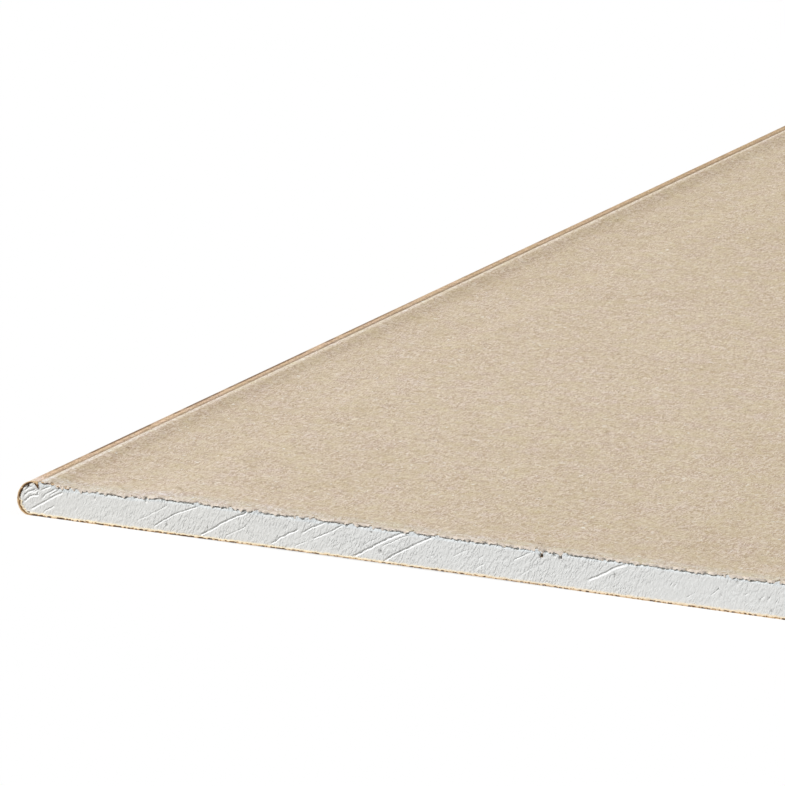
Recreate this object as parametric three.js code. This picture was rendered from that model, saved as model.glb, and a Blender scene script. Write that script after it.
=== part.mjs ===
// A plasterboard (drywall) sheet with rounded, paper-wrapped long edges, in millimetres, +Z up.
//
// The sheet lies flat with its face side down and its back side up. X runs across the sheet and
// Y along its wrapped edges, and the origin is at the middle of the underside. Every piece is one
// section, drawn in X and Z and drawn out over the sheet's length, as the board is made on its
// line: the face paper runs under the core, turns up round both edges and ends in a flap pressed
// into the back of the core, and the back paper is glued down over the two flaps.

import * as THREE from 'three';

// The sheet.
const LENGTH = 2000;
const WIDTH = 1250; // over the two rounded edges
const THICKNESS = 12.5; // core and both papers, at the middle of the sheet

// The papers.
const FACE_PAPER = 0.4; // thickness of the paper on the face and round the edges
const FLAP_TIP = 0.2; // thickness to which it is ground at the flap's end
const BACK_PAPER = 0.4; // thickness of the paper on the back
const FLAP = 20; // from the sheet's edge to the end of the face paper on the back
const LAP = 11; // width of back paper glued on each flap

// The rounded edge: fuller towards the face and easier towards the back.
const NOSE = 5; // height of the edge's outermost line
const FACE_ROUND = 4.2; // from the sheet's edge to where its face is flat
const BACK_ROUND = 6.5; // from the sheet's edge to where its flap is flat

// The shallow hollow that is rolled into the back along each edge.
const HOLLOW_START = 11; // from the sheet's edge
const HOLLOW_DEPTH = 1;
const HOLLOW_ENTRY = 8; // width of the slope down, beside the edge
const HOLLOW_FLOOR = 22; // width of its level floor
const HOLLOW_EXIT = 15; // width of the slope up to the middle of the sheet

// Straight pieces in each slope of the hollow and in each quarter of a rounded edge.
const CURVE_STEPS = 12;

// Distances in from the sheet's edge.
const LAP_EDGE = FLAP - LAP; // edge of the back paper
const EXIT_FOOT = HOLLOW_START + HOLLOW_ENTRY + HOLLOW_FLOOR;
const HOLLOW_END = EXIT_FOOT + HOLLOW_EXIT;

const BACK_SEAT = THICKNESS - BACK_PAPER; // where the back paper lies, away from the hollows

const LEFT = -1;
const RIGHT = 1;

// The X of a point that lies a distance in from the left or right edge of the sheet.
function fromEdge(side, distance) {
  return side * (WIDTH / 2 - distance);
}

// How far an S-shaped slope has got, from 0 to 1, at a share of its width.
function slope(share) {
  const t = Math.min(Math.max(share, 0), 1);
  return t * t * (3 - 2 * t);
}

// Height of the seat that flap and core give the back paper, a distance in from the edge.
function seatHeight(distance) {
  const entered = slope((distance - HOLLOW_START) / HOLLOW_ENTRY);
  const left = slope((distance - EXIT_FOOT) / HOLLOW_EXIT);
  return BACK_SEAT - HOLLOW_DEPTH * (entered - left);
}

// Height of the flap's underside, which rises towards the flap's end as the paper thins.
function flapBed(distance) {
  const share = (distance - BACK_ROUND) / (FLAP - BACK_ROUND);
  return seatHeight(distance) - FACE_PAPER + (FACE_PAPER - FLAP_TIP) * share;
}

// Height of the back paper's outside.
function backHeight(distance) {
  return seatHeight(distance) + BACK_PAPER;
}

// The distances at which the seat bends or a paper ends, so that the pieces share every corner.
function seatStations() {
  const stations = [LAP_EDGE, FLAP];
  for (let i = 0; i <= CURVE_STEPS; i += 1) {
    stations.push(HOLLOW_START + (HOLLOW_ENTRY * i) / CURVE_STEPS);
    stations.push(EXIT_FOOT + (HOLLOW_EXIT * i) / CURVE_STEPS);
  }
  return stations.sort((a, b) => a - b);
}

// Adds a height along the seat to an outline: inward or outward between two distances.
function traceSeat(outline, side, from, to, height) {
  const near = Math.min(from, to);
  const far = Math.max(from, to);
  const distances = seatStations().filter((distance) => distance > near && distance < far);
  distances.unshift(near);
  distances.push(far);
  if (from > to) {
    distances.reverse();
  }
  for (const distance of distances) {
    outline.lineTo(fromEdge(side, distance), height(distance));
  }
}

// Adds a height between the same distance in from both edges, starting at one side.
function traceAcross(outline, side, distance, height) {
  traceSeat(outline, side, distance, HOLLOW_END, height);
  traceSeat(outline, -side, HOLLOW_END, distance, height);
}

// Adds one rounded edge, set in by the paper's thickness or by 0, from face to back.
function roundUp(outline, side, inset) {
  const clockwise = side === LEFT;
  const nose = side === LEFT ? Math.PI : 0;
  const faceX = fromEdge(side, FACE_ROUND);
  const backX = fromEdge(side, BACK_ROUND);
  outline.absellipse(faceX, NOSE, FACE_ROUND - inset, NOSE - inset, -Math.PI / 2, nose, clockwise);
  outline.absellipse(backX, NOSE, BACK_ROUND - inset, BACK_SEAT - NOSE - inset, nose, Math.PI / 2,
    clockwise);
}

// The same edge from back to face.
function roundDown(outline, side, inset) {
  const clockwise = side === RIGHT;
  const nose = side === LEFT ? Math.PI : 0;
  const faceX = fromEdge(side, FACE_ROUND);
  const backX = fromEdge(side, BACK_ROUND);
  outline.absellipse(backX, NOSE, BACK_ROUND - inset, BACK_SEAT - NOSE - inset, Math.PI / 2, nose,
    clockwise);
  outline.absellipse(faceX, NOSE, FACE_ROUND - inset, NOSE - inset, nose, -Math.PI / 2, clockwise);
}

// The gypsum fills the wrap, lies under each flap and, past the flap's end, carries the back
// paper itself.
function coreOutline() {
  const outline = new THREE.Shape();
  outline.moveTo(fromEdge(LEFT, FACE_ROUND), FACE_PAPER);
  outline.lineTo(fromEdge(RIGHT, FACE_ROUND), FACE_PAPER);
  roundUp(outline, RIGHT, FACE_PAPER);
  traceSeat(outline, RIGHT, BACK_ROUND, FLAP, flapBed);
  traceAcross(outline, RIGHT, FLAP, seatHeight);
  traceSeat(outline, LEFT, FLAP, BACK_ROUND, flapBed);
  roundDown(outline, LEFT, FACE_PAPER);
  return outline;
}

// The face paper is one strip: flap, edge, face, edge and flap. Its outside is drawn first and
// its inside back again.
function facePaperOutline() {
  const outline = new THREE.Shape();
  outline.moveTo(fromEdge(LEFT, FLAP), seatHeight(FLAP));
  traceSeat(outline, LEFT, FLAP, BACK_ROUND, seatHeight);
  roundDown(outline, LEFT, 0);
  outline.lineTo(fromEdge(RIGHT, FACE_ROUND), 0);
  roundUp(outline, RIGHT, 0);
  traceSeat(outline, RIGHT, BACK_ROUND, FLAP, seatHeight);
  traceSeat(outline, RIGHT, FLAP, BACK_ROUND, flapBed);
  roundDown(outline, RIGHT, FACE_PAPER);
  outline.lineTo(fromEdge(LEFT, FACE_ROUND), FACE_PAPER);
  roundUp(outline, LEFT, FACE_PAPER);
  traceSeat(outline, LEFT, BACK_ROUND, FLAP, flapBed);
  return outline;
}

// The back paper laps over both flaps and follows the seat down into the hollows.
function backPaperOutline() {
  const outline = new THREE.Shape();
  outline.moveTo(fromEdge(LEFT, LAP_EDGE), seatHeight(LAP_EDGE));
  traceAcross(outline, LEFT, LAP_EDGE, seatHeight);
  traceAcross(outline, RIGHT, LAP_EDGE, backHeight);
  return outline;
}

// Draws a section out along Y and cuts it square at both ends of the sheet.
function drawOut(outline) {
  const geometry = new THREE.ExtrudeGeometry(outline, {
    depth: LENGTH,
    bevelEnabled: false,
    curveSegments: CURVE_STEPS / 2,
  });
  geometry.rotateX(Math.PI / 2);
  geometry.translate(0, LENGTH / 2, 0);
  return geometry;
}

function piece(name, outline, color, roughness) {
  const material = new THREE.MeshStandardMaterial({ color, roughness, metalness: 0 });
  const mesh = new THREE.Mesh(drawOut(outline), material);
  mesh.name = name;
  return mesh;
}

const sheet = new THREE.Group();
sheet.add(piece('gypsum_core', coreOutline(), 0xd8d7d4, 0.95));
sheet.add(piece('face_paper', facePaperOutline(), 0xd6c29a, 0.85));
sheet.add(piece('back_paper', backPaperOutline(), 0xcfbfa9, 0.9));

export default sheet;
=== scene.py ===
"""A plasterboard sheet lying face down: gypsum core, cream face paper round its edges, tan back paper."""

import math
import random

import bmesh
import bpy
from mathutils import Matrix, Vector, noise


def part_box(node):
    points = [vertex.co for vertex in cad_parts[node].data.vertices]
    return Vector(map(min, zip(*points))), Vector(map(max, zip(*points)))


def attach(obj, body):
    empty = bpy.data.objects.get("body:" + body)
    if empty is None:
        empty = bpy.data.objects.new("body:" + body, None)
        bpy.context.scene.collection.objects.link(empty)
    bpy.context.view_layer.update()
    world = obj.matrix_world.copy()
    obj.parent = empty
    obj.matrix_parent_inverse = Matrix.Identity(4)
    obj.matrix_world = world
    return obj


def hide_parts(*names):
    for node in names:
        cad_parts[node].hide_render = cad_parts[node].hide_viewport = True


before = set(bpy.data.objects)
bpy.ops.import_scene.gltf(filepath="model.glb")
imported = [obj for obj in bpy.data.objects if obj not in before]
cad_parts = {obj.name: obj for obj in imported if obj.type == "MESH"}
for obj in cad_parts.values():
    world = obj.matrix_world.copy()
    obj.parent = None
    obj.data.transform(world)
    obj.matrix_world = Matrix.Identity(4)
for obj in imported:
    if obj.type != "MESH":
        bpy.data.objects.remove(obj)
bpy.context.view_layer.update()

MM = 0.001

# Sizes that the frame gives.
SHEET_LOW, SHEET_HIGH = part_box("face_paper")
CORE_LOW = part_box("gypsum_core")[0]
BACK_LOW, BACK_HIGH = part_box("back_paper")
WIDTH = SHEET_HIGH.x - SHEET_LOW.x
LENGTH = SHEET_HIGH.y - SHEET_LOW.y
FACE_PAPER = CORE_LOW.z - SHEET_LOW.z
SEAT = SHEET_HIGH.z
BACK_PAPER = BACK_HIGH.z - SEAT
HOLLOW_DEPTH = SEAT - BACK_LOW.z
LAP_EDGE = BACK_LOW.x - SHEET_LOW.x

# The section of the wrapped edge, in from the sheet's edge or up from its face.
NOSE = 5 * MM
FACE_ROUND = 4.2 * MM
BACK_ROUND = 6.5 * MM
FLAP = 20 * MM
FLAP_TIP = 0.2 * MM
FLAP_STEP = 0.3 * MM
HOLLOW_START = 11 * MM
HOLLOW_ENTRY = 8 * MM
HOLLOW_FLOOR = 22 * MM
HOLLOW_EXIT = 15 * MM
EXIT_FOOT = HOLLOW_START + HOLLOW_ENTRY + HOLLOW_FLOOR

# How finely the pieces are divided: close at the end where the cut is seen best, wider elsewhere.
FINE = 0.42 * MM
COARSE = 1.15 * MM
FINE_REACH = 305 * MM
EDGE_REACH = 25 * MM
ROUND_STEPS = 16
CORE_ROWS = 26
REAR_ROWS = 18
ROW_CROWDING = 0.55
END_ROWS = [row * MM for row in (0, 0.25, 0.6, 1.1, 2.0, 4.0, 8.0)]
PAPER_ROWS = END_ROWS + [LENGTH - row for row in reversed(END_ROWS)]
FLAP_COLUMN = 0.8 * MM
LAP_COLUMN = 0.25 * MM

# The cut ends: the papers stand a little proud of the gypsum, which has crumbled along its rim.
CORE_SETBACK = 0.3 * MM
LEAST_SETBACK = 0.02 * MM
RIM_DEPTH = 0.75 * MM
RIM_WIDTH = 1.1 * MM
RIM_SLOPE = 0.22 * MM
BEVEL_DEPTH = 0.30 * MM
BEVEL_WIDTH = 1.25 * MM
BEVEL_SLOPE = 0.75 * MM

# Added to a seed so that the rear end is torn in another way than the front end.
REAR_CORE = 100
REAR_PAPER = 50

# The papers' torn ends, and how the back paper is pressed on the flap.
RAGGED_FADE = 1.2 * MM
FRAY_REACH = 0.4 * MM
LIFT_REACH = 1.6 * MM
LAP_PRESSED = 0.2 * MM
LAP_SLOPE = 1.3 * MM
CREASE_DEPTH = 0.08 * MM
CREASE_WIDTH = 1.2 * MM

# The face paper at the cut ends: its lip swells inwards, and along the front end it has come off
# the ground in a low arch. ARCH_MIDDLE and ARCH_REACH are in mm from the left edge.
LIP_SWELL = 0.55 * MM
LIP_REACH = 0.5 * MM
BAND_SWELL = 0.7 * MM
FLAP_RAGGED = 0.35
FLARE = 0.08 * MM
FLARE_REACH = 1.0 * MM
ARCH_HEIGHT = 0.34 * MM
ARCH_MIDDLE = 140
ARCH_REACH = 75
ARCH_FADE = 1.5 * MM

# A loose tongue of flap paper that hangs over the gypsum at the front corner.
TONGUE = 7.4 * MM
TONGUE_WIDTH = 1.05 * MM
TONGUE_LENGTH = 2.3 * MM
TONGUE_LEAN = 0.7 * MM

# How grooves are cut: share of the width on the dark side, run in mm over which an end fades, depth
# in mm at which its walls have their full painted light and shade, length and wander in mm of its pieces,
# and how far in mm the faces beside a piece are divided with it and its hollow goes on past its ends.
GROOVE_DARK_SHARE = 0.45
GROOVE_FADE = 1.8
GROOVE_TONE_DEPTH = 0.42
GROOVE_PIECE = 2.1
GROOVE_WANDER = 0.2
GROOVE_MARGIN = 0.3
GROOVE_OVERRUN = 0.2

# A pit's width and height against its radius, and depths in mm from which its painted shade is dark and
# darker.
PIT_WIDE, PIT_TALL = 0.85, 1.25
PIT_DARK, PIT_DARKER = 0.3, 0.8

# Width in mm of the slices in which marks are looked up, and how far a mark reaches to each side.
SLICE = 3
MARK_REACH = 2

# Marks torn into the front cut end: depth and width in mm, then points (in from the left edge, up).
GROOVES = [
    (0.34, 1.0, [(5.0, 2.0), (7.5, 3.6), (10.1, 5.1), (12.7, 6.8), (15.1, 8.2), (17.7, 9.5)]),
    (0.25, 0.8, [(9.8, 1.3), (10.9, 2.4), (12.4, 3.2), (14.3, 4.4)]),
    (0.40, 1.0, [(2.4, 4.3), (4.7, 6.5), (6.2, 7.0), (7.6, 7.3), (8.1, 8.7)]),
    (0.42, 1.0, [(2.3, 6.3), (4.0, 8.0), (5.8, 8.7), (7.3, 9.5)]),
    (0.35, 0.8, [(2.6, 8.3), (4.2, 9.5), (5.8, 10.1)]),
    (0.32, 0.8, [(5.5, 7.9), (8.0, 9.2), (8.9, 9.9)]),
    (0.34, 0.85, [(9.2, 9.2), (11.2, 10.3), (13.3, 11.0)]),
    (0.32, 0.95, [(9.5, 6.4), (10.7, 7.9), (12.8, 9.1), (14.8, 10.4)]),
    (0.24, 0.7, [(12.2, 7.6), (14.0, 8.9), (16.0, 9.9)]),
    (0.30, 0.6, [(8.8, 2.3), (8.9, 3.9)]),
    (0.22, 0.7, [(19.4, 8.4), (20.2, 10.2)]),
    (0.20, 0.6, [(25.2, 5.5), (25.9, 7.4)]),
    (0.20, 0.6, [(22.0, 3.4), (23.4, 5.4)]),
    (0.13, 0.7, [(45.0, 2.8), (53.9, 7.5), (58.2, 10.2)]),
    (0.42, 0.8, [(52.3, 1.9), (59.6, 6.9), (69.1, 10.9)]),
    (0.60, 1.0, [(70.2, 1.3), (80.0, 7.4), (88.0, 11.5)]),
    (0.34, 0.5, [(72.9, 3.3), (72.8, 5.2)]),
    (0.30, 0.5, [(75.8, 4.8), (75.5, 6.8)]),
    (0.40, 0.5, [(80.2, 7.4), (80.3, 9.3)]),
    (0.18, 0.7, [(79.2, 2.0), (87.9, 6.7)]),
    (0.48, 0.9, [(96.9, 1.8), (99.8, 4.0), (106.9, 7.9)]),
    (0.55, 0.7, [(98.6, 3.3), (99.5, 5.0)]),
    (0.42, 0.85, [(108.3, 6.7), (111.9, 9.1), (116.9, 11.5)]),
    (0.26, 0.65, [(110.5, 9.9), (112.3, 11.5)]),
    (0.38, 0.8, [(112.2, 5.2), (118.7, 8.4), (123.4, 11.3)]),
    (0.22, 0.7, [(105.1, 1.6), (109.8, 3.9)]),
    (0.58, 1.1, [(127.2, 1.2), (131.9, 4.0), (135.6, 6.3), (139.9, 8.7), (143.6, 10.6), (146.6, 11.9)]),
    (0.22, 0.6, [(138.0, 5.9), (141.1, 7.6), (144.2, 9.4), (147.8, 10.9)]),
    (0.12, 0.6, [(130.4, 5.0), (135.0, 7.8), (138.0, 9.9)]),
    (0.34, 0.5, [(137.3, 3.3), (137.6, 4.9)]),
    (0.16, 0.5, [(141.9, 5.2), (142.4, 6.6)]),
    (0.55, 1.0, [(138.9, 1.1), (142.3, 3.7), (146.0, 5.8), (149.1, 7.5), (152.1, 9.2), (156.3, 11.2)]),
    (0.14, 0.7, [(155.1, 4.5), (157.7, 5.8)]),
    (0.18, 0.7, [(163.6, 5.6), (169.1, 8.7)]),
    (0.18, 0.65, [(172.9, 5.9), (175.2, 7.7)]),
    (0.16, 0.65, [(171.7, 2.5), (175.9, 5.0)]),
    (0.24, 0.75, [(185.6, 7.2), (192.3, 10.8)]),
    (0.10, 0.7, [(188.1, 2.4), (193.2, 6.2)]),
    (0.38, 1.1, [(212.4, 3.9), (217.4, 6.6), (221.0, 8.8), (226.4, 11.1)]),
    (0.10, 0.6, [(221.1, 5.6), (228.3, 10.3)]),
    (0.20, 0.55, [(241.7, 5.6), (242.9, 7.2)]),
    (0.20, 0.55, [(243.1, 5.4), (244.1, 7.2)]),
    (0.16, 0.55, [(247.5, 2.6), (250.0, 4.5)]),
    (0.18, 0.55, [(256.2, 4.6), (258.4, 6.6)]),
    (0.34, 0.6, [(258.3, 6.3), (259.1, 8.0)]),
    (0.18, 0.6, [(267.6, 5.9), (269.6, 7.4)]),
    (0.20, 0.6, [(273.0, 5.3), (275.1, 6.9)]),
    (0.28, 0.6, [(276.2, 5.3), (277.0, 7.0)]),
    (0.28, 0.6, [(278.8, 4.6), (279.7, 6.5)]),
]

# Air bubbles and torn-out crumbs there: in from the left edge, up, radius and depth in mm.
PITS = [
    (3.9, 10.3, 0.6, 1.2), (15.5, 10.9, 0.7, 0.9), (29.9, 8.9, 0.5, 0.4), (49.5, 10.5, 0.6, 0.5),
    (57.3, 3.0, 0.6, 0.5), (102.4, 7.9, 0.5, 0.4), (134.1, 10.1, 0.5, 0.4), (137.4, 4.1, 0.6, 0.5),
    (195.9, 10.2, 0.75, 1.5), (200.6, 10.7, 0.45, 0.75), (202.8, 10.4, 0.62, 1.4), (246.8, 5.8, 0.4, 0.35),
    (258.7, 7.0, 0.4, 0.35), (273.6, 5.3, 0.4, 0.35), (276.5, 6.5, 0.4, 0.35),
]

# Places where the back paper is nicked and gypsum shows: in from the left edge, width, depth in mm.
NICKS = [
    (8.7, 1.0, 2.6), (8.9, 1.1, 1.6), (13.6, 1.2, 1.2), (18.6, 0.9, 1.2),
    (20.5, 0.9, 1.2), (22.9, 0.8, 1.3), (31.0, 0.8, 1.0), (44.2, 0.8, 1.0),
    (68.8, 1.3, 2.0), (81.3, 1.0, 1.6), (91.3, 1.3, 2.2), (106.7, 1.1, 1.6),
    (110.2, 1.1, 2.0), (112.5, 1.3, 2.0), (126.6, 0.9, 1.6), (133.8, 0.9, 1.2),
    (149.0, 1.4, 2.0), (158.2, 0.9, 1.4), (194.3, 0.9, 1.6), (204.3, 0.9, 1.4),
    (262.0, 0.9, 1.4), (279.5, 1.3, 2.4), (286.2, 1.1, 2.2),
]

# Bits of paper that hang over the gypsum, and nicks in the flap: place, width and length in mm.
CORNER_SHREDS = [(15.5, 1.2, 0.9), (17.2, 1.4, 1.0), (21.8, 0.8, 0.8), (24.6, 1.3, 1.2)]
PIT_SHREDS = [(196.1, 1.7, 1.5), (202.9, 1.2, 1.3)]
FLAP_NICKS = [(2.6, 1.5, 2.0), (5.4, 1.0, 2.0), (8.2, 1.2, 2.0), (11.5, 1.1, 2.6)]

# Colours of the papers: valleys and crests of the fibres, whose tone holds painted light and shade, then
# pale and dark flecks.
TAN_PAPER = ((0.502, 0.388, 0.268), (0.745, 0.641, 0.508), (0.86, 0.82, 0.74), (0.36, 0.27, 0.18))
CREAM_PAPER = ((0.50, 0.355, 0.215), (0.85, 0.625, 0.435), (0.86, 0.80, 0.68), (0.40, 0.28, 0.16))
TAN_TORN = (0.74, 0.65, 0.56)
CREAM_INSIDE = (0.50, 0.37, 0.22)
CREAM_CUT = (1.0, 0.86, 0.62)
CREAM_LOWER = (0.70, 0.49, 0.275)
DASH_BROWN = (0.42, 0.23, 0.085)
DASH_BLACK = (0.10, 0.05, 0.02)

# Colours of the gypsum: hollows and crests of its powder, broken gypsum and painted dark brown shade in
# the gap at the rim, and the painted highlight on groove walls that face the light and the painted shade
# deep in pits.
POWDER_LOW, POWDER_HIGH = (0.63, 0.625, 0.602), (0.875, 0.873, 0.848)
BROKEN = (0.93, 0.91, 0.86)
GAP_SHADE = (0.33, 0.22, 0.13)
LIT_WALL = (0.96, 0.965, 0.96)
PIT_SHADE = (0.19, 0.13, 0.08)

# Fibres: how far and over what size their way wanders, and where the painted shaded side of a fibre lies
# from its painted lit one.
FIBRE_BEND = 3 * MM
FIBRE_BEND_SIZE = 4 * MM
FIBRE_ECHO = Vector((1.5, -2.6, 0)) * MM

# The view: the corner's place in a frame of this many pixels, and how the camera looks at it.
FRAME_WIDE, FRAME_HIGH = 785, 786
CORNER_PIXEL = (17.48, 513.51)
FOCAL_PIXELS = 6500
PIXELS_PER_METRE = 2957.4
AZIMUTH = math.radians(26.77)
ELEVATION = math.radians(14.45)
SENSOR = 36.0

# The light: white surroundings and one soft sun, high in front of the cut end and to its left.
AMBIENT = 0.35
SUN_LEVEL = 0.90
SUN_SPREAD = math.radians(8)
TOWARD_SUN = Vector((-0.40, -0.62, 0.78))

# The floor: a grey that the sheet sees, and white for the camera that still holds a soft shadow.
FLOOR_REACH = 10.0
FLOOR_GAP = 0.05 * MM
FLOOR_GREY = 0.5
FLOOR_GLOW = 0.75


def smooth(share):
    """An S-shaped rise from 0 to 1."""
    t = min(max(share, 0.0), 1.0)
    return t * t * (3 - 2 * t)


def fade(distance, reach):
    """A bell-shaped fall from 1 to 0, slow at first, over about twice a reach."""
    return math.exp(-((distance / reach) ** 2))


def waver(*place):
    """Smooth noise about 0 at a place given by three numbers."""
    return noise.noise(Vector(place))


def seat_height(inset):
    """Height of the seat under the back paper, a distance in from the sheet's edge."""
    entered = smooth((inset - HOLLOW_START) / HOLLOW_ENTRY)
    left = smooth((inset - EXIT_FOOT) / HOLLOW_EXIT)
    return SEAT - HOLLOW_DEPTH * (entered - left)


def quarter(inset, middle, skin):
    """How far a rounded quarter stands off its nose, from 0 to 1, a distance in from the edge."""
    share = (middle - inset) / (middle - skin)
    return math.sqrt(max(0.0, 1 - share * share))


def flap_thickness(inset):
    """The flap thins from the rounded edge to its end."""
    share = min(max((inset - BACK_ROUND) / (FLAP - BACK_ROUND), 0.0), 1.0)
    return FACE_PAPER + (FLAP_TIP - FACE_PAPER) * share


def core_top(inset):
    if inset < BACK_ROUND:
        return NOSE + (SEAT - NOSE - FACE_PAPER) * quarter(inset, BACK_ROUND, FACE_PAPER)
    return seat_height(inset) - flap_thickness(inset) * (1 - smooth((inset - FLAP) / FLAP_STEP))


def core_bottom(inset):
    if inset < FACE_ROUND:
        return NOSE - (NOSE - FACE_PAPER) * quarter(inset, FACE_ROUND, FACE_PAPER)
    return FACE_PAPER


def steps(start, stop, size):
    """Evenly spaced distances from start up to, but without, stop."""
    count = math.ceil((stop - start) / size)
    return [start + (stop - start) * i / count for i in range(count)]


def across_sheet(margin):
    """Distances from the left edge that divide the sheet between two margins."""
    places = steps(margin, FINE_REACH, FINE)
    places += steps(FINE_REACH, WIDTH - EDGE_REACH, COARSE)
    return places + steps(WIDTH - EDGE_REACH, WIDTH - margin, FINE) + [WIDTH - margin]


def from_end(row):
    """How far a row lies from the nearest cut end, and whether that is the rear one."""
    return min(row, LENGTH - row), row >= LENGTH / 2


def grid_places(mesh, across, along):
    """Adds a grid and gives each of its vertices with its column and row."""
    made = bmesh.ops.create_grid(mesh, x_segments=across, y_segments=along, size=0.5)
    return [(v, round((v.co.x + 0.5) * across), round((v.co.y + 0.5) * along)) for v in made["verts"]]


def sliced(items, ends):
    """Groups items by the slices of the sheet's width that their ends in mm reach over."""
    slices = {}
    for item in items:
        low, high = ends(item)
        for key in range(int(low // SLICE), int(high // SLICE) + 1):
            slices.setdefault(key, []).append(item)
    return slices


def near_marks(slices, place):
    return slices.get(int(place // SLICE), ())


def mark_ends(mark):
    return mark[0] - MARK_REACH, mark[0] + MARK_REACH


def line_ends(line):
    start, along, length = line[:3]
    return start[0] - MARK_REACH, start[0] + along[0] * length + MARK_REACH


def face_ends(face):
    """The places in mm, in from the left edge, between which a face of a cut end lies."""
    places = [(vertex.co.x - SHEET_LOW.x) / MM for vertex in face.verts]
    return min(places), max(places)


def add_object(name, data):
    made = bpy.data.objects.new(name, data)
    bpy.context.scene.collection.objects.link(made)
    return made


def finish_piece(mesh, name, material, sharp):
    """Turns a bmesh into a smooth-shaded object with creases sharper than an angle kept."""
    data = bpy.data.meshes.new(name)
    mesh.to_mesh(data)
    mesh.free()
    data.shade_smooth()
    data.set_sharp_from_angle(angle=math.radians(sharp))
    data.materials.append(material)
    return add_object(name, data)


# Marks for the parts of the cut ends that have no mark of their own above, all in mm.


def scattered(seed, left, right, gap):
    """Unevenly spaced places between margins in from both edges, and the draw for their marks."""
    draw = random.Random(seed)
    place = left
    while place < WIDTH / MM - right:
        yield place, draw
        place += gap(draw)


def scattered_grooves(seed, left, right):
    grooves = []
    for place, draw in scattered(seed, left, right, lambda draw: draw.uniform(4, 30)):
        low = draw.uniform(1.2, 5)
        high = min(low + draw.uniform(3, 10), 11.4)
        lean = draw.uniform(1.35, 2.0)
        run = (high - low) * lean
        bend = draw.uniform(-0.5, 0.5)
        points = [(place, low), (place + run / 2, (low + high) / 2 + bend), (place + run, high)]
        grooves.append((draw.uniform(0.12, 0.5), draw.uniform(0.8, 1.3), points))
    return grooves


def scattered_pits(seed, left, right):
    pits = []
    for place, draw in scattered(seed, left, right, lambda draw: draw.uniform(2, 16)):
        radius = draw.uniform(0.35, 0.7)
        pits.append((place, draw.uniform(1.5, 10.6), radius, radius * draw.uniform(0.6, 0.9)))
    return pits


def scattered_nicks(seed, left, right):
    places = scattered(seed, left, right, lambda draw: draw.uniform(5, 22))
    return [(place, draw.uniform(0.8, 1.7), draw.uniform(0.9, 2.4)) for place, draw in places]


def scattered_shreds(seed, left, right):
    places = scattered(seed, left, right, lambda draw: draw.expovariate(1 / 4.5) + 1)
    return [(place, draw.uniform(0.7, 1.3), draw.uniform(0.35, 1.0)) for place, draw in places]


# Nicks and shreds of the front and the rear cut end.
ALL_NICKS = (sliced(NICKS + scattered_nicks(31, 292, 10), mark_ends),
             sliced(scattered_nicks(32, 8, 10), mark_ends))
ALL_SHREDS = (sliced(CORNER_SHREDS + PIT_SHREDS + scattered_shreds(41, 26, 10), mark_ends),
              sliced(scattered_shreds(42, 10, 10), mark_ends))


# The gypsum core.


def groove_lines(grooves, seed):
    """Each straight piece of each groove: start, direction, length, depth, width and run.

    The grooves wander a little, as a crack does, so each is divided in short pieces."""
    draw = random.Random(seed)
    lines = []
    for depth, width, points in grooves:
        path = [points[0]]
        for a, b in zip(points, points[1:]):
            length = math.dist(a, b)
            count = max(1, round(length / GROOVE_PIECE))
            for i in range(1, count + 1):
                side = draw.uniform(-GROOVE_WANDER, GROOVE_WANDER) if i < count else 0.0
                share = i / count
                path.append((a[0] + (b[0] - a[0]) * share + (b[1] - a[1]) / length * side,
                             a[1] + (b[1] - a[1]) * share - (b[0] - a[0]) / length * side))
        total = sum(math.dist(a, b) for a, b in zip(path, path[1:]))
        done = 0.0
        for a, b in zip(path, path[1:]):
            length = math.dist(a, b)
            along = ((b[0] - a[0]) / length, (b[1] - a[1]) / length)
            lines.append((a, along, length, depth, width, done, total))
            done += length
    return lines


def cut_groove_lines(mesh, lines):
    """Cuts a flat end, but not its rim, along the bottom and both borders of each groove."""
    inner = [face for face in mesh.faces if not any(edge.is_boundary for edge in face.edges)]
    slices = sliced(inner, face_ends)
    for a, along, length, _, width, _, _ in lines:
        start = Vector((SHEET_LOW.x + a[0] * MM, 0, a[1] * MM))
        ahead = Vector((along[0], 0, along[1]))
        beside = Vector((along[1], 0, -along[0]))
        reach = (width + GROOVE_MARGIN) * MM
        ends = sorted((a[0], a[0] + along[0] * length))
        keys = range(int((ends[0] - 1) // SLICE), int((ends[1] + 1) // SLICE) + 1)
        near = set()
        for face in {face for key in keys for face in slices.get(key, ()) if face.is_valid}:
            offset = face.verts[0].co - start
            if abs(offset.dot(beside)) < reach and -reach < offset.dot(ahead) < length * MM + reach:
                near.add(face)
        geom = list({item for face in near for item in (face, *face.edges, *face.verts)})
        for border in (-GROOVE_DARK_SHARE * width, 0, (1 - GROOVE_DARK_SHARE) * width):
            cut = bmesh.ops.bisect_plane(
                mesh, geom=geom, dist=0.02 * MM, plane_co=start + beside * border * MM, plane_no=beside)
            geom = cut["geom"]
        made = [item for item in geom if isinstance(item, bmesh.types.BMFace) and item not in near]
        for key in keys:
            slices.setdefault(key, []).extend(made)


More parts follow.
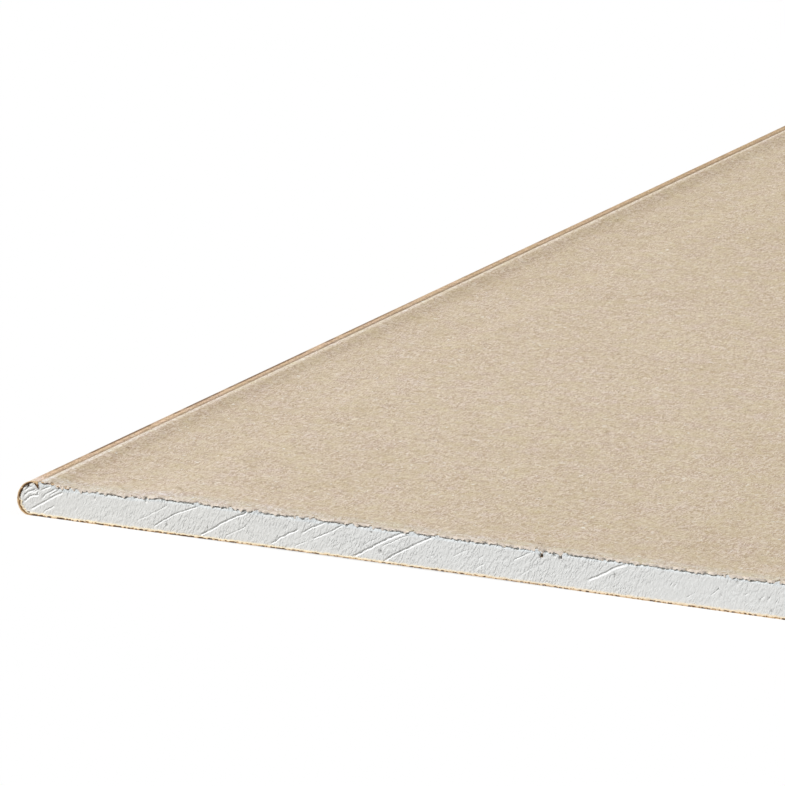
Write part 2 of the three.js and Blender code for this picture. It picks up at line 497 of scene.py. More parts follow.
def groove_at(across, height, lines):
    """Depth in mm that the grooves leave at a point of the cut end, and the wall it lies on.

    The wall is below 0 on a groove's upper left side and above 0 on its lower right, up to 1."""
    deepest, wall = 0.0, 0
    for a, along, length, depth, width, done, total in near_marks(lines, across):
        dx = across - a[0]
        dz = height - a[1]
        ahead = dx * along[0] + dz * along[1]
        if ahead < -GROOVE_OVERRUN or ahead > length + GROOVE_OVERRUN:
            continue
        beside = dx * along[1] - dz * along[0]
        border = (1 - GROOVE_DARK_SHARE) * width if beside > 0 else GROOVE_DARK_SHARE * width
        if abs(beside) >= border:
            continue
        ends = min(done + ahead, total - done - ahead)
        uneven = 1 + 0.9 * waver((done + ahead) / 1.3, depth * 50, width * 9)
        full = depth * uneven * smooth(0.3 + ends / GROOVE_FADE)
        here = full * (1 - abs(beside) / border)
        if here > deepest:
            deepest = here
            wall = math.copysign(min(full / GROOVE_TONE_DEPTH, 1), beside)
    return deepest, wall


def pit_depth(across, height, pits):
    deepest = 0.0
    for place, up, radius, depth in near_marks(pits, across):
        share = math.hypot((across - place) / PIT_WIDE, (height - up) / PIT_TALL) / radius
        if share < 1:
            deepest = max(deepest, depth * math.sqrt(1 - share * share))
    return deepest


def torn_relief(across, height, seed):
    """The rough face of torn gypsum at a point in mm: broad waves, slanting streaks and ticks."""
    wave = waver(across / 17, height / 9, seed)
    along = across * 0.86 + height * 0.51
    beside = across * 0.51 - height * 0.86
    streak = waver(along / 4.5, beside / 1.3, seed + 7)
    steep = across * 0.34 + height * 0.94
    level = across * 0.94 - height * 0.34
    tick = waver(level / 0.62, steep / 1.7, seed + 13)
    tick = math.copysign(max(0.0, abs(tick) - 0.14), tick)
    rough = 1 + 0.5 * waver(across / 30, 3.7, seed + 23)
    rough *= (0.5 + 0.5 * smooth((across - 25) / 35)) * (1 - 0.45 * smooth((across - 215) / 30))
    torn = 0.6 + 0.8 * smooth(0.5 + 1.6 * waver(across / 6, height / 4, seed + 29))
    return 0.02 * wave + rough * (0.015 * streak + torn * 0.055 * tick)


def rim_gap(from_left, height):
    """Distance from a point of the cut end to the paper round it."""
    inset = min(from_left, WIDTH - from_left)
    if inset < BACK_ROUND and height >= NOSE:
        wide, high, middle = BACK_ROUND - FACE_PAPER, SEAT - NOSE - FACE_PAPER, BACK_ROUND
    elif inset < FACE_ROUND and height < NOSE:
        wide, high, middle = FACE_ROUND - FACE_PAPER, NOSE - FACE_PAPER, FACE_ROUND
    else:
        return max(0.0, min(core_top(inset) - height, height - core_bottom(inset)))
    share = math.hypot((middle - inset) / wide, (height - NOSE) / high)
    return max(0.0, 1 - share) * (wide + high) / 2


def rim_recess(from_left, height, seed):
    """How far the gypsum has crumbled back along its rim, in metres."""
    gap = rim_gap(from_left, height)
    if gap > RIM_WIDTH * 1.8:
        return 0.0
    across = from_left / MM
    up = height / MM
    jag = 0.45 + 0.55 * waver(across / 1.5, up / 1.5, seed + 31)
    jag += 0.7 * waver(across / 0.75, up / 0.75, seed + 37)
    inset = min(from_left, WIDTH - from_left)
    if height < NOSE and inset > FACE_ROUND:
        jag *= 0.2
    elif inset < BACK_ROUND:
        jag = jag * 0.6 + (0.1 if height > NOSE else 0.25)
    else:
        jag += 0.14 * smooth((inset - 16 * MM) / (30 * MM)) + 0.13 * smooth((inset - 130 * MM) / (90 * MM))
    recess = RIM_DEPTH * smooth((RIM_WIDTH * jag - gap) / RIM_SLOPE)
    if height > NOSE and inset > BACK_ROUND:
        uneven = 0.65 + 0.9 * waver(across / 2.4, 8.3, seed + 41)
        recess += BEVEL_DEPTH * max(0.0, uneven) * smooth((BEVEL_WIDTH - gap) / BEVEL_SLOPE)
    return recess


def flat_core_end(columns, rows, grooves, back):
    """A flat cut end of the core at a Y, divided along its grooves, as mesh data."""
    end = bmesh.new()
    for vertex, column, row in grid_places(end, len(columns) - 1, rows):
        from_left = columns[column]
        inset = min(from_left, WIDTH - from_left)
        share = row / rows
        share -= ROW_CROWDING * math.sin(2 * math.pi * share) / (2 * math.pi)
        low = core_bottom(inset)
        vertex.co = (SHEET_LOW.x + from_left, 0, low + (core_top(inset) - low) * share)
    bmesh.ops.remove_doubles(end, verts=end.verts, dist=0.002 * MM)
    cut_groove_lines(end, grooves)
    bmesh.ops.translate(end, verts=end.verts, vec=(0, back, 0))
    data = bpy.data.meshes.new("cut_end")
    end.to_mesh(data)
    end.free()
    return data


def relieve_core_end(vertices, outward, gap, lines, pits, nicks, seed):
    """Presses the relief of a torn end into vertices that lie on its cut plane."""
    for vertex in vertices:
        from_left = vertex.co.x - SHEET_LOW.x
        across = from_left / MM
        height = vertex.co.z / MM
        depth = torn_relief(across, height, seed) + groove_at(across, height, lines)[0]
        depth = (depth + pit_depth(across, height, pits)) * MM + CORE_SETBACK
        recess = rim_recess(from_left, vertex.co.z, seed)
        for middle, width, _ in near_marks(nicks, across):
            if abs(across - middle) < width and height > NOSE / MM:
                recess = 0.0
                vertex[gap] = max(vertex[gap], 0.8)
        vertex.co.y -= outward * (max(depth, LEAST_SETBACK) + recess)


def tone_core_end(faces, tone, lines, pits):
    """Gives each face of a cut end the wall of the groove it lies on, or -1 or -2 in a pit, which sets its
    painted light and shade.
    """
    for face in faces:
        place = face.calc_center_median()
        across = (place.x - SHEET_LOW.x) / MM
        height = place.z / MM
        face[tone] = groove_at(across, height, lines)[1]
        pit = pit_depth(across, height, pits)
        if pit > PIT_DARK:
            face[tone] = -2.0 if pit > PIT_DARKER else -1.0


def make_core(material):
    turn = [FACE_PAPER + (BACK_ROUND - FACE_PAPER) * (1 - math.cos(i / ROUND_STEPS * math.pi / 2))
            for i in range(ROUND_STEPS)]
    columns = turn + across_sheet(BACK_ROUND) + [WIDTH - inset for inset in reversed(turn)]
    front_grooves = groove_lines(GROOVES + scattered_grooves(11, 288, 14), 13)
    rear_grooves = groove_lines(scattered_grooves(21, 6, 14), 23)
    mesh = bmesh.new()
    mesh.from_mesh(flat_core_end(columns, CORE_ROWS, front_grooves, SHEET_LOW.y))
    mesh.from_mesh(flat_core_end(columns, REAR_ROWS, rear_grooves, SHEET_HIGH.y))
    bmesh.ops.bridge_loops(mesh, edges=[edge for edge in mesh.edges if edge.is_boundary])
    bmesh.ops.recalc_face_normals(mesh, faces=mesh.faces)
    gap = mesh.verts.layers.float.new("rim_gap")
    for vertex in mesh.verts:
        vertex[gap] = min(rim_gap(vertex.co.x - SHEET_LOW.x, vertex.co.z) / MM, 5.0)
    tone = mesh.faces.layers.float.new("groove_tone")
    for outward, grooves, pits, nicks, seed in (
            (-1, front_grooves, PITS + scattered_pits(12, 205, 5), ALL_NICKS[0], 0),
            (1, rear_grooves, scattered_pits(22, 5, 5), ALL_NICKS[1], REAR_CORE)):
        lines = sliced(grooves, line_ends)
        pits = sliced(pits, mark_ends)
        vertices = [v for v in mesh.verts if v.co.y * outward > 0]
        faces = [face for face in mesh.faces if all(v.co.y * outward > 0 for v in face.verts)]
        tone_core_end(faces, tone, lines, pits)
        relieve_core_end(vertices, outward, gap, lines, pits, nicks, seed)
    return finish_piece(mesh, "gypsum_slab", material, 26)


# The papers.


def ragged(place, seed):
    """How far in mm a paper's border is torn back from the cut plane, at a place in mm along it."""
    tear = 0.20 + 0.40 * waver(place / 1.9, 0.3, seed)
    tear += 0.55 * waver(place / 0.8, 0.7, seed + 3)
    return max(0.0, tear)


def nick_depth(place, nicks):
    deepest = 0.0
    for middle, width, depth in near_marks(nicks, place):
        share = abs(place - middle) / (width / 2)
        if share < 1:
            deepest = max(deepest, depth * (1 - share ** 3))
    return deepest


def fray(place, row, seed):
    """How far the underside of a cut border hangs down in loose fibres and shreds, in metres."""
    near, rear = from_end(row)
    hang = 0.05 + 0.20 * smooth((place - 140) / 50) + 0.10 * smooth((place - 210) / 40)
    hang += 0.7 * waver(place / 0.8, 5.1, seed + REAR_PAPER * rear)
    hang = max(0.0, hang, nick_depth(place, ALL_SHREDS[rear]))
    return hang * MM * fade(near, FRAY_REACH)


def torn_back(place, row, seed, nicks, share=1.0):
    """Y of a point of a paper, a row's distance from the front cut end, with both ends ragged."""
    near, rear = from_end(row)
    tear = max(ragged(place, seed + REAR_PAPER * rear) * share, nick_depth(place, nicks[rear])) * MM
    tear *= math.exp(-near / (RAGGED_FADE + 2 * tear))
    return SHEET_LOW.y + row + (-tear if rear else tear)


def edge_lift(place, row, seed):
    """How far a paper has lifted along its cut end, in metres."""
    near, rear = from_end(row)
    side = seed + REAR_PAPER * rear
    lift = 0.05 + 0.12 * waver(place / 4.5, 1.1, side)
    lift += 0.08 * waver(place / 1.3, 1.7, side)
    return max(0.0, lift) * MM * fade(near, LIFT_REACH)


def make_sheet(name, material, columns, place_at):
    """A sheet of paper from the places of its outside and inside, joined all round its border."""
    mesh = bmesh.new()
    skin = mesh.verts.layers.float.new("inside")
    for inside in (0, 1):
        for vertex, column, row in grid_places(mesh, len(columns) - 1, len(PAPER_ROWS) - 1):
            vertex.co = place_at(column, PAPER_ROWS[row], inside)
            vertex[skin] = inside
    bmesh.ops.bridge_loops(mesh, edges=[edge for edge in mesh.edges if edge.is_boundary])
    bmesh.ops.recalc_face_normals(mesh, faces=mesh.faces)
    return finish_piece(mesh, name, material, 40)


def make_back_paper(material):
    columns = across_sheet(LAP_EDGE)

    def place_at(column, row, inside):
        from_left = columns[column]
        inset = min(from_left, WIDTH - from_left)
        place = from_left / MM
        height = seat_height(inset)
        if inside:
            height = height + edge_lift(place, row, 60) - fray(place, row, 66)
        else:
            pressed = LAP_PRESSED * (1 - smooth((inset - LAP_EDGE) / LAP_SLOPE))
            height = height + BACK_PAPER - pressed + edge_lift(place, row, 60)
        back = torn_back(place, row, 64 if inside else 61, ALL_NICKS)
        return SHEET_LOW.x + from_left, back, height

    return make_sheet("back_paper_sheet", material, columns, place_at)


def wrap_section():
    """Outside and inside points of the face paper's section, from one flap's end to the other's."""
    left = []
    lap = LAP_EDGE + 1 * MM
    for inset in steps(FLAP, lap, -FLAP_COLUMN) + steps(lap, BACK_ROUND, -LAP_COLUMN):
        crease = CREASE_DEPTH * fade(inset - LAP_EDGE, CREASE_WIDTH)
        height = seat_height(inset) - crease
        left.append(((inset, height), (inset, seat_height(inset) - flap_thickness(inset))))
    for start, middle, high in ((math.pi / 2, BACK_ROUND, SEAT - NOSE), (0, FACE_ROUND, -NOSE)):
        for i in range(ROUND_STEPS):
            turn = abs(start - i / ROUND_STEPS * math.pi / 2)
            pair = []
            for skin in (0, FACE_PAPER):
                rise = high - math.copysign(skin, high)
                pair.append((middle - (middle - skin) * math.cos(turn), NOSE + rise * math.sin(turn)))
            left.append(tuple(pair))
    right = [((WIDTH - o[0], o[1]), (WIDTH - i[0], i[1])) for o, i in reversed(left)]
    flat = [((place, 0.0), (place, FACE_PAPER)) for place in across_sheet(FACE_ROUND)]
    return left + flat + right


def arch(place, row):
    """How far the face has come off the ground at a place in mm along the front cut end."""
    if row >= LENGTH / 2:
        return 0.0
    return ARCH_HEIGHT * math.exp(-((place - ARCH_MIDDLE) / ARCH_REACH) ** 4) * math.exp(-row / ARCH_FADE)


def inwards(across, height):
    """Direction from the wrap's outside to the gypsum, in a section."""
    inset = min(across, WIDTH - across)
    middle = BACK_ROUND if height > NOSE else FACE_ROUND
    if inset >= middle:
        return 0.0, (-1.0 if height > NOSE else 1.0)
    length = math.hypot(middle - inset, NOSE - height)
    return math.copysign(middle - inset, WIDTH / 2 - across) / length, (NOSE - height) / length


def make_face_paper(material):
    section = wrap_section()
    run = [0.0]
    for (a, _), (b, _) in zip(section, section[1:]):
        run.append(run[-1] + math.dist(a, b))
    nicks = (sliced(FLAP_NICKS, mark_ends), {})

    def place_at(column, row, inside):
        across, height = section[column][inside]
        near, rear = from_end(row)
        side, up = inwards(across, height)
        back = torn_back(run[column] / MM, row, 74 if inside else 71, nicks, FLAP_RAGGED)
        if inside:
            full = LIP_SWELL * abs(side)
            if height < NOSE:
                full = LIP_SWELL + BAND_SWELL * smooth(abs(side) * 2)
            uneven = 1 + 0.6 * waver(run[column] / MM / 1.1, 2.3, REAR_PAPER * rear)
            swell = uneven * full * fade(near, LIP_REACH)
            if height < NOSE:
                swell += 0.5 * arch(across / MM, row)
            elif height > NOSE and row == 0:
                share = max(0.0, 1 - abs(across - TONGUE) / TONGUE_WIDTH)
                height -= share * TONGUE_LENGTH
                across += share * TONGUE_LEAN
        else:
            swell = -FLARE * fade(near, FLARE_REACH) * smooth(abs(side) * 1.5)
            if height < FACE_PAPER:
                height += arch(across / MM, row)
        return SHEET_LOW.x + across + side * swell, back, height + up * swell

    return make_sheet("face_paper_wrap", material, section, place_at)


# Materials.


def add_node(tree, kind, values=None, **settings):
    """Adds a node, sets it up, and gives each named input its plain value or link."""
    node = tree.nodes.new(kind)
    for key, value in settings.items():
        setattr(node, key, value)
    for key, value in (values or {}).items():
        if isinstance(value, bpy.types.NodeSocket):
            tree.links.new(value, node.inputs[key])
        else:
            node.inputs[key].default_value = value
    return node


def add_after(kind, values, **settings):
    """Adds a node to the tree that its inputs come from."""
    tree = next(value.id_data for value in values.values() if isinstance(value, bpy.types.NodeSocket))
    return add_node(tree, kind, values, **settings)


def calc(operation, first, second=0.0, clamp=False):
    values = {0: first, 1: second}
    return add_after("ShaderNodeMath", values, operation=operation, use_clamp=clamp).outputs[0]


def plus(first, second):
    return calc("ADD", first, second)


def minus(first, second):
    return calc("SUBTRACT", first, second)


def times(first, *others):
    for other in others:
        first = calc("MULTIPLY", first, other)
    return first


def highest(first, *others):
    for other in others:
        first = calc("MAXIMUM", first, other)
    return first


def between(value, low, high, start=0.0, stop=1.0):
    """A value that goes smoothly from start to stop as another goes from low to high."""
    values = {"Value": value, "From Min": low, "From Max": high, "To Min": start, "To Max": stop}
    return add_after("ShaderNodeMapRange", values, interpolation_type="SMOOTHSTEP").outputs["Result"]


def within(distance, low, high, start=0.0, stop=1.0):
    """The same for a distance in metres and its two ends in mm."""
    return between(distance, low * MM, high * MM, start, stop)


def blend_colors(share, first, second, way="MIX"):
    """The first colour where a share is 0 and the second where it is 1."""
    first, second = [(*color, 1) if isinstance(color, tuple) else color for color in (first, second)]
    values = {0: share, 6: first, 7: second}
    return add_after("ShaderNodeMix", values, data_type="RGBA", blend_type=way).outputs[2]


def tinted(share, color, tint):
    """A colour that is multiplied by a tint where a share is 1."""
    return blend_colors(share, color, tint, "MULTIPLY")


def grain(place, size, detail=2.0, rough=0.5):
    """Noise whose lumps are about a size in mm across, from 0 to 1."""
    values = {"Vector": place, "Scale": 1 / (size * MM), "Detail": detail, "Roughness": rough}
    return add_after("ShaderNodeTexNoise", values).outputs["Fac"]


def sway(place, size, reach, detail=2.0):
    """A distance that wanders by up to half a reach in mm to either side."""
    return times(minus(grain(place, size, detail), 0.5), reach * MM)


def laid(place, turn, stretch):
    """Places for a grain that is stretched and then turned about the sheet's normal."""
    values = {"Vector": place, "Rotation": (0, 0, turn), "Scale": (stretch, 1, 1)}
    return add_after("ShaderNodeMapping", values, vector_type="TEXTURE").outputs[0]


def measured(shader, name):
    """A value that the mesh carries in an attribute."""
    return add_node(shader.id_data, "ShaderNodeAttribute", attribute_name=name).outputs["Fac"]


def material_base(name, color, roughness):
    material = bpy.data.materials.new(name)
    material.use_nodes = True
    tree = material.node_tree
    shader = tree.nodes["Principled BSDF"]
    shader.inputs["Base Color"].default_value = color
    shader.inputs["Roughness"].default_value = roughness
    shader.inputs["Specular IOR Level"].default_value = 0.25
    place = add_node(tree, "ShaderNodeTexCoord").outputs["Object"]
    return material, shader, place


def insets(place):
    """Distances in from the nearest long edge and the nearest cut end, the height, and Y."""
    x, y, z = add_after("ShaderNodeSeparateXYZ", {0: place}).outputs
    return minus(WIDTH / 2, calc("ABSOLUTE", x)), minus(LENGTH / 2, calc("ABSOLUTE", y)), z, y


def finish_shader(shader, color, height, distance):
    """Gives a shader its colour and a bump as high as a distance."""
    shader.id_data.links.new(color, shader.inputs["Base Color"])
    bump = add_after("ShaderNodeBump", {"Height": height, "Distance": distance, "Strength": 1.0})
    shader.id_data.links.new(bump.outputs["Normal"], shader.inputs["Normal"])


def hairs(curl, patch, level, none, full):
    """Thin curled fibres along one level of a noise, in the patches between two others."""
    off = calc("ABSOLUTE", minus(curl, level))
    return times(between(off, 0.016, 0.006), between(patch, none, full))


def fibre_group():
    """Matted paper fibres: a tone about 0.5 that holds painted light and shade, pale and dark flecks, a
    height and coarse ridges.
    """
    group = bpy.data.node_groups.new("paper_fibres", "ShaderNodeTree")
    face = group.interface
    face.new_socket(name="Place", in_out="INPUT", socket_type="NodeSocketVector")
    for name in ("Tone", "Pale Flecks", "Dark Flecks", "Height", "Ridges"):
        face.new_socket(name=name, in_out="OUTPUT", socket_type="NodeSocketFloat")
    face.new_socket(name="Tint", in_out="OUTPUT", socket_type="NodeSocketColor")
    inputs = group.nodes.new("NodeGroupInput")
    outputs = group.nodes.new("NodeGroupOutput")
    place = inputs.outputs["Place"]

    # The fibres' places, bent a little, and again for the painted shaded side of each fibre.
    way = "ShaderNodeVectorMath"
    warp = add_after("ShaderNodeTexNoise", {"Vector": place, "Scale": 1 / FIBRE_BEND_SIZE, "Detail": 1.0})
    shift = add_after(way, {0: warp.outputs["Color"], 1: (0.5, 0.5, 0.5)}, operation="SUBTRACT")
    push = add_after(way, {0: shift.outputs[0], "Scale": FIBRE_BEND}, operation="SCALE")
    bent = add_after(way, {0: place, 1: push.outputs[0]}).outputs[0]
    beside = add_after(way, {0: bent, 1: FIBRE_ECHO}).outputs[0]

    strands = [grain(laid(start, turn, 6.5), size, 1.0) for start, turn, size in (
        (bent, 1.38, 0.43), (bent, 1.17, 0.55), (bent, 1.65, 0.52), (beside, 1.38, 0.43))]
    matted = highest(strands[1], strands[2])
    fine = grain(laid(place, 2.04, 3.0), 0.36, 1.0)
    lumps = grain(place, 3.2)
    cloud = grain(place, 38, 3.0, 0.55)
    felted = between(grain(place, 9, 1.0, 0.4), 0.36, 0.64, 0.6, 1.3)
    tone = 0.5
    # Painted light and shade: each fibre less its copy a little aside.
    lit = minus(strands[0], strands[3])
    for layer, middle, gain in ((lit, 0.0, 3.1), (fine, 0.5, 1.9), (matted, 0.56, 0.8)):
        tone = plus(tone, times(times(minus(layer, middle), gain), felted))
    for layer, gain in ((lumps, 0.5), (cloud, 0.35)):
        tone = plus(tone, times(minus(layer, 0.5), gain))

    rare = grain(place, 2.2, 1.0, 0.4)
    curl = grain(laid(bent, 0, 1.6), 3.4, 1.0, 0.4)
    patch = grain(place, 7, 1.0, 0.4)
    pale = times(between(rare, 0.68, 0.76), between(strands[1], 0.5, 0.6))
    pale = highest(pale, times(hairs(curl, patch, 0.47, 0.55, 0.62), 0.45))
    dark = times(between(rare, 0.33, 0.26), between(strands[0], 0.5, 0.6))
    dark = highest(dark, times(hairs(curl, patch, 0.54, 0.45, 0.38), 0.5))

    height = plus(times(matted, 0.6), times(fine, 0.4))
    ridges = 0.0
    for turn, none, full in ((0.5, 0.53, 0.61), (1.1, 0.47, 0.39)):
        crest = grain(laid(bent, turn, 2.0), 3.4, 1.0, 0.4)
        crest = calc("ABSOLUTE", minus(crest, 0.5))
        crest = times(between(crest, 0.09, 0.0), between(patch, none, full))
        ridges = highest(ridges, crest)
    hue = plus(times(grain(place, 9), 0.9), times(grain(place, 1.9), 0.9))
    tint = blend_colors(minus(hue, 0.40), (0.99, 1.01, 0.88), (1.01, 0.985, 1.12))

    for name, value in (("Tone", tone), ("Pale Flecks", pale), ("Dark Flecks", dark),
                        ("Height", height), ("Ridges", ridges), ("Tint", tint)):
        group.links.new(value, outputs.inputs[name])
    return group


def paper_colors(fibres, low, high, pale, dark):
    color = blend_colors(fibres["Tone"], low, high)
    color = tinted(1.0, color, fibres["Tint"])
    color = blend_colors(fibres["Pale Flecks"], color, pale)
    return blend_colors(fibres["Dark Flecks"], color, dark)


def back_paper_material(group):
    material, shader, place = material_base("tan_back_paper", (0.63, 0.53, 0.4, 1), 0.9)
    fibres = add_after("ShaderNodeGroup", {"Place": place}, node_tree=group).outputs
    color = paper_colors(fibres, *TAN_PAPER)
    across, along, _, _ = insets(place)

    # Worn pale along the cut end, with a painted highlight in patches right at it.
    rim = times(along, within(across, 90, 240, 1.0, 1.45))
    worn = within(plus(rim, sway(place, 22, 5)), 9.5, 5.2)
    color = tinted(worn, color, (1.03, 1.085, 1.17))
    highlight_patches = between(grain(place, 0.9, 1.0), 0.38, 0.55)
    lip = times(within(along, 2.2, 1.2), highlight_patches)
    color = tinted(lip, color, (1.13, 1.12, 1.12))

    # Painted light falling off from the corner: a little darker far from the edge and far from the cut
    # end, paler near the corner.
    far = within(across, 60, 280)
    color = tinted(far, color, (0.962, 0.962, 0.948))
    deep_painted_shade = within(along, 200, 520)
    color = tinted(deep_painted_shade, color, (0.962, 0.960, 0.938))
    pale = times(within(along, 60, 12), within(across, 130, 90))
    color = tinted(pale, color, (1.03, 1.035, 1.05))

    # The pressed border of the lap is a painted highlight, a pale line of uneven width that is paler near
    # the corner, with a soft painted shade beside it.
    beside = plus(across, sway(place, 160, 2, 1.0))
    corner = within(along, 150, 30)
    beside = minus(beside, times(corner, 0.3 * MM))
    wide = times(within(along, 90, 170), within(along, 420, 300))
    beside = minus(beside, times(wide, 0.4 * MM))
    lap = between(beside, LAP_EDGE + 2.6 * MM, LAP_EDGE + 1.3 * MM)
    color = tinted(lap, color, (1.17, 1.22, 1.30))
    color = tinted(times(lap, corner), color, (1.03, 1.06, 1.10))
    shade = times(within(beside, 28, 12), minus(1.0, lap))
    color = tinted(shade, color, (0.93, 0.915, 0.895))

    torn = within(along, 0.42, 0.36)
    color = blend_colors(torn, color, TAN_TORN)
    finish_shader(shader, color, plus(fibres["Height"], times(fibres["Ridges"], 1.5)), 0.08 * MM)
    return material


def worn_and_shaded_wrap(color, place, across, along, height, from_middle):
    """The wrap's round and flap: a dark band along the round, darker and browner away from the front cut
    end, painted shade in a crease and worn pale at the cut end.
    """
    on_back = within(height, 8, 10)
    worn = plus(along, sway(place, 22, 5))
    worn = times(within(worn, 9.5, 4), on_back)
    kept = minus(1.0, worn)

    # A dark grey band in patches along the round, and a browner round and flap away from the front cut
    # end.
    shoulder_band = times(within(across, 6.3, 5.6), within(across, 3.1, 4.1))
    shoulder_band = times(shoulder_band, times(on_back, kept))
    patchy = between(grain(place, 19, 2.0, 0.55), 0.42, 0.58, 0.15, 1.0)
    patchy = times(patchy, within(along, 330, 120, 0.5, 1.5))
    shoulder_band = calc("MULTIPLY", shoulder_band, patchy, clamp=True)
    color = tinted(shoulder_band, color, (0.33, 0.28, 0.25))
    far_end_darkening = times(between(from_middle, -0.95, -0.4), on_back)
    color = tinted(far_end_darkening, color, (0.76, 0.735, 0.66))

    # Painted shade in the crease beside the lap, worn pale at the cut end.
    crease = between(across, LAP_EDGE - 2.1 * MM, LAP_EDGE - 0.9 * MM)
    crease = times(crease, times(on_back, kept), within(along, 60, 260, 0.76, 1.0),
                   within(along, 420, 330, 0.82, 1.0))
    color = tinted(crease, color, (0.55, 0.56, 0.59))
    return tinted(worn, color, (1.10, 1.22, 1.42))


def cut_wrap(color, place, inside, across, along, height):
    """The wrap's inside and its cut border, which carries brown and near-black dashes."""
    color = blend_colors(between(inside, 0.3, 0.7), color, CREAM_INSIDE)
    cut = within(along, 0.45, 0.38)
    color = blend_colors(cut, color, CREAM_CUT)
    dull = times(cut, within(across, 120, 200))
    color = tinted(dull, color, (0.92, 0.91, 0.95))
    above = within(height, 5.0, 6.5)
    corner = times(within(across, 6.5, 4), within(height, 6.0, 5.0))
    bottom = minus(1.0, highest(above, corner))
    lower = times(between(inside, 0.5, 0.3), cut)
    color = blend_colors(lower, color, CREAM_LOWER)

    # The dashes have dark middles. They lie in a band low along the face, in the paper's middle
    # round the corner and at the gypsum above it.
    near_edge = within(across, 110, 70, -0.04, 0.055)
    near_edge = plus(near_edge, within(across, 14, 7, 0.0, 0.05))
    dashes = grain(place, 1.15, 2.0, 0.6)
    dashes = plus(dashes, highest(near_edge, times(above, 0.12)))
    dashes = plus(dashes, times(corner, 0.06))
    depth = minus(inside, within(across, 110, 70, 0.0, 0.06))
    low_band = times(bottom, between(depth, 0.62, 0.42))
    corner_band = times(between(inside, 0.2, 0.38), between(inside, 0.78, 0.62))
    corner_band = times(corner, corner_band)
    high_band = times(above, between(inside, 0.25, 0.55))
    dash_band = times(highest(low_band, corner_band, high_band), cut)
    brown_dashes = times(dash_band, between(dashes, 0.47, 0.52))
    color = blend_colors(brown_dashes, color, DASH_BROWN)
    black_dashes = times(dash_band, between(dashes, 0.52, 0.57), between(corner, 0, 1, 1.0, 0.55))
    return blend_colors(black_dashes, color, DASH_BLACK)


def face_paper_material(group):
    material, shader, place = material_base("cream_face_paper", (0.70, 0.56, 0.36, 1), 0.8)
    fibres = add_after("ShaderNodeGroup", {"Place": place}, node_tree=group).outputs
    color = paper_colors(fibres, *CREAM_PAPER)
    across, along, height, from_middle = insets(place)
    color = worn_and_shaded_wrap(color, place, across, along, height, from_middle)
    color = cut_wrap(color, place, measured(shader, "inside"), across, along, height)
    finish_shader(shader, color, fibres["Height"], 0.06 * MM)
    return material


def rim_light_and_shade(color, gap, across, height):
    """The gypsum's rim: a painted pale highlight on its crumbled band, painted brown shade right under the
    paper, pale broken gypsum by the long edges and painted dark brown shade in the gap behind the wrap
    there.
    """
    upper = within(height, 4, 8)
    # Painted highlight on the crumbled band just below the paper.
    rim_highlight = times(between(gap, 1.7, 0.9), upper)
    color = tinted(rim_highlight, color, (0.99, 1.03, 1.065))
    # Painted brown shade right under the paper's overhang.
    under_paper_shade = times(between(gap, 0.5, 0.2), upper)
    color = tinted(under_paper_shade, color, (0.82, 0.68, 0.60))
    beside = within(across, 7.5, 5)
    broken = times(between(gap, 1.3, 0.8), beside)
    color = blend_colors(broken, color, BROKEN)
    # Painted dark brown shade in the gap behind the wrap.
    gap_shade = times(between(gap, 0.5, 0.25), beside)
    return blend_colors(gap_shade, color, GAP_SHADE)


def grooved(color, wall):
    """The gypsum's grooves and pits: painted shade on the dark walls, a painted highlight on walls that
    face the light, and darker painted shade deep in pits.
    """
    # Painted shade on dark walls and in pits, painted highlight on walls that face the light.
    shaded_wall = calc("MULTIPLY", wall, -1, clamp=True)
    color = tinted(shaded_wall, color, (0.84, 0.835, 0.83))
    lit_wall = calc("MULTIPLY", wall, 0.75, clamp=True)
    color = blend_colors(lit_wall, color, LIT_WALL)
    return blend_colors(between(wall, -1.1, -1.6), color, PIT_SHADE)


def gypsum_material():
    material, shader, place = material_base("torn_gypsum", (0.78, 0.775, 0.75, 1), 0.95)
    values = {"Vector": place, "Rotation": (0, 0.35, 0), "Scale": (1, 1, 2.4)}
    lay = add_after("ShaderNodeMapping", values, vector_type="TEXTURE").outputs[0]
    powder = grain(lay, 0.5, 2.0, 0.6)
    cloud = grain(place, 14, 3.0)
    tone = plus(times(powder, 0.9), times(cloud, 0.1))
    color = blend_colors(tone, POWDER_LOW, POWDER_HIGH)
    across, _, height, _ = insets(place)
    cool = within(across, 70, 150)
    color = tinted(cool, color, (0.997, 1.004, 1.017))
    color = rim_light_and_shade(color, measured(shader, "rim_gap"), across, height)
    color = grooved(color, measured(shader, "groove_tone"))

    # The fine relief: small bubbles, and ticks that are flatter by the long edges and far in.
    values = {"Vector": lay, "Scale": 1 / (0.6 * MM)}
    bubbles = add_after("ShaderNodeTexVoronoi", values, feature="SMOOTH_F1").outputs["Distance"]
    ticks = between(grain(lay, 0.62, 1.0), 0.36, 0.64)
    torn = between(grain(place, 7, 1.0, 0.4), 0.40, 0.62, 0.35, 0.65)
    torn = times(torn, within(across, 25, 60, 0.7, 1.0), within(across, 215, 245, 1.0, 0.6))
    relief = plus(times(bubbles, 0.2), times(ticks, torn))
    finish_shader(shader, color, relief, 0.27 * MM)
    return material


# Floor, light and camera.


def seen_white(tree):
    """1 for what the camera sees, straight or through gloss or glass, and 0 for the light."""
    path = add_node(tree, "ShaderNodeLightPath").outputs
    return highest(path["Is Camera Ray"], path["Is Glossy Ray"], path["Is Transmission Ray"])


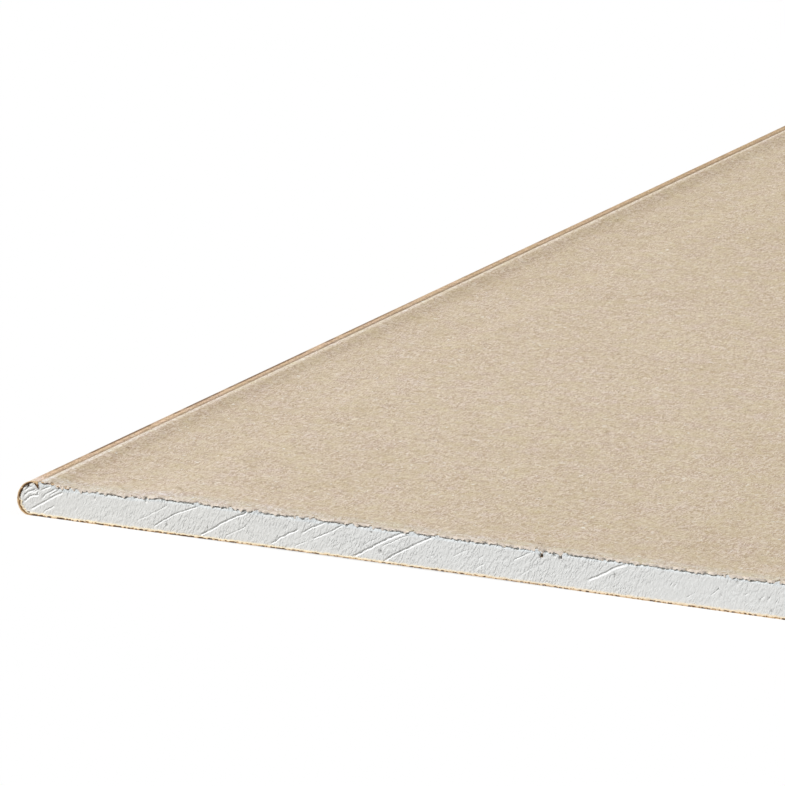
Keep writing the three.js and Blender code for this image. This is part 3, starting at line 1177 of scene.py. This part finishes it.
def make_floor():
    mesh = bmesh.new()
    bmesh.ops.create_grid(mesh, x_segments=1, y_segments=1, size=FLOOR_REACH)
    bmesh.ops.translate(mesh, verts=mesh.verts, vec=(0, 0, SHEET_LOW.z - FLOOR_GAP))
    material = bpy.data.materials.new("white_floor")
    material.use_nodes = True
    tree = material.node_tree
    tree.nodes.clear()
    matt = add_node(tree, "ShaderNodeBsdfDiffuse", {"Color": (FLOOR_GREY, FLOOR_GREY, FLOOR_GREY, 1)})
    seen = add_node(tree, "ShaderNodeBsdfDiffuse", {"Color": (1, 1, 1, 1)})
    white = add_node(tree, "ShaderNodeEmission", {"Color": (1, 1, 1, 1), "Strength": 1.0})
    shown = {0: FLOOR_GLOW, 1: seen.outputs[0], 2: white.outputs[0]}
    shown = add_after("ShaderNodeMixShader", shown).outputs[0]
    floor = add_after("ShaderNodeMixShader", {0: seen_white(tree), 1: matt.outputs[0], 2: shown})
    add_after("ShaderNodeOutputMaterial", {"Surface": floor.outputs[0]})
    finish_piece(mesh, "floor", material, 40)


def make_light():
    world = bpy.data.worlds.new("surroundings")
    world.use_nodes = True
    tree = world.node_tree
    background = tree.nodes["Background"]
    background.inputs["Color"].default_value = (1, 1, 1, 1)
    level = between(seen_white(tree), 0, 1, AMBIENT, 1.0)
    tree.links.new(level, background.inputs["Strength"])
    bpy.context.scene.world = world
    sun = bpy.data.lights.new("sun", "SUN")
    sun.energy = SUN_LEVEL * math.pi
    sun.angle = SUN_SPREAD
    add_object("sun", sun).rotation_euler = TOWARD_SUN.to_track_quat("Z", "Y").to_euler()


def make_camera():
    right = Vector((math.cos(AZIMUTH), math.sin(AZIMUTH), 0))
    back = Vector((
        math.sin(AZIMUTH) * math.cos(ELEVATION),
        -math.cos(AZIMUTH) * math.cos(ELEVATION),
        math.sin(ELEVATION),
    ))
    up = back.cross(right)
    distance = FOCAL_PIXELS / PIXELS_PER_METRE
    across = (CORNER_PIXEL[0] - FRAME_WIDE / 2) / PIXELS_PER_METRE
    down = (CORNER_PIXEL[1] - FRAME_HIGH / 2) / PIXELS_PER_METRE
    data = bpy.data.cameras.new("camera")
    data.sensor_width = SENSOR
    data.lens = SENSOR * FOCAL_PIXELS / max(FRAME_WIDE, FRAME_HIGH)
    data.clip_end = 100
    camera = add_object("camera", data)
    camera.location = SHEET_LOW - right * across + up * down + back * distance
    camera.rotation_euler = back.to_track_quat("Z", "Y").to_euler()
    bpy.context.scene.camera = camera


fibres = fibre_group()
tan_paper = back_paper_material(fibres)
cream_paper = face_paper_material(fibres)
gypsum = gypsum_material()

slab = make_core(gypsum)
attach(slab, "root")
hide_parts("gypsum_core")

wrap = make_face_paper(cream_paper)
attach(wrap, "root")
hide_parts("face_paper")

back = make_back_paper(tan_paper)
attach(back, "root")
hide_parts("back_paper")

make_floor()
make_light()
make_camera()
bpy.context.scene.view_settings.view_transform = "Standard"
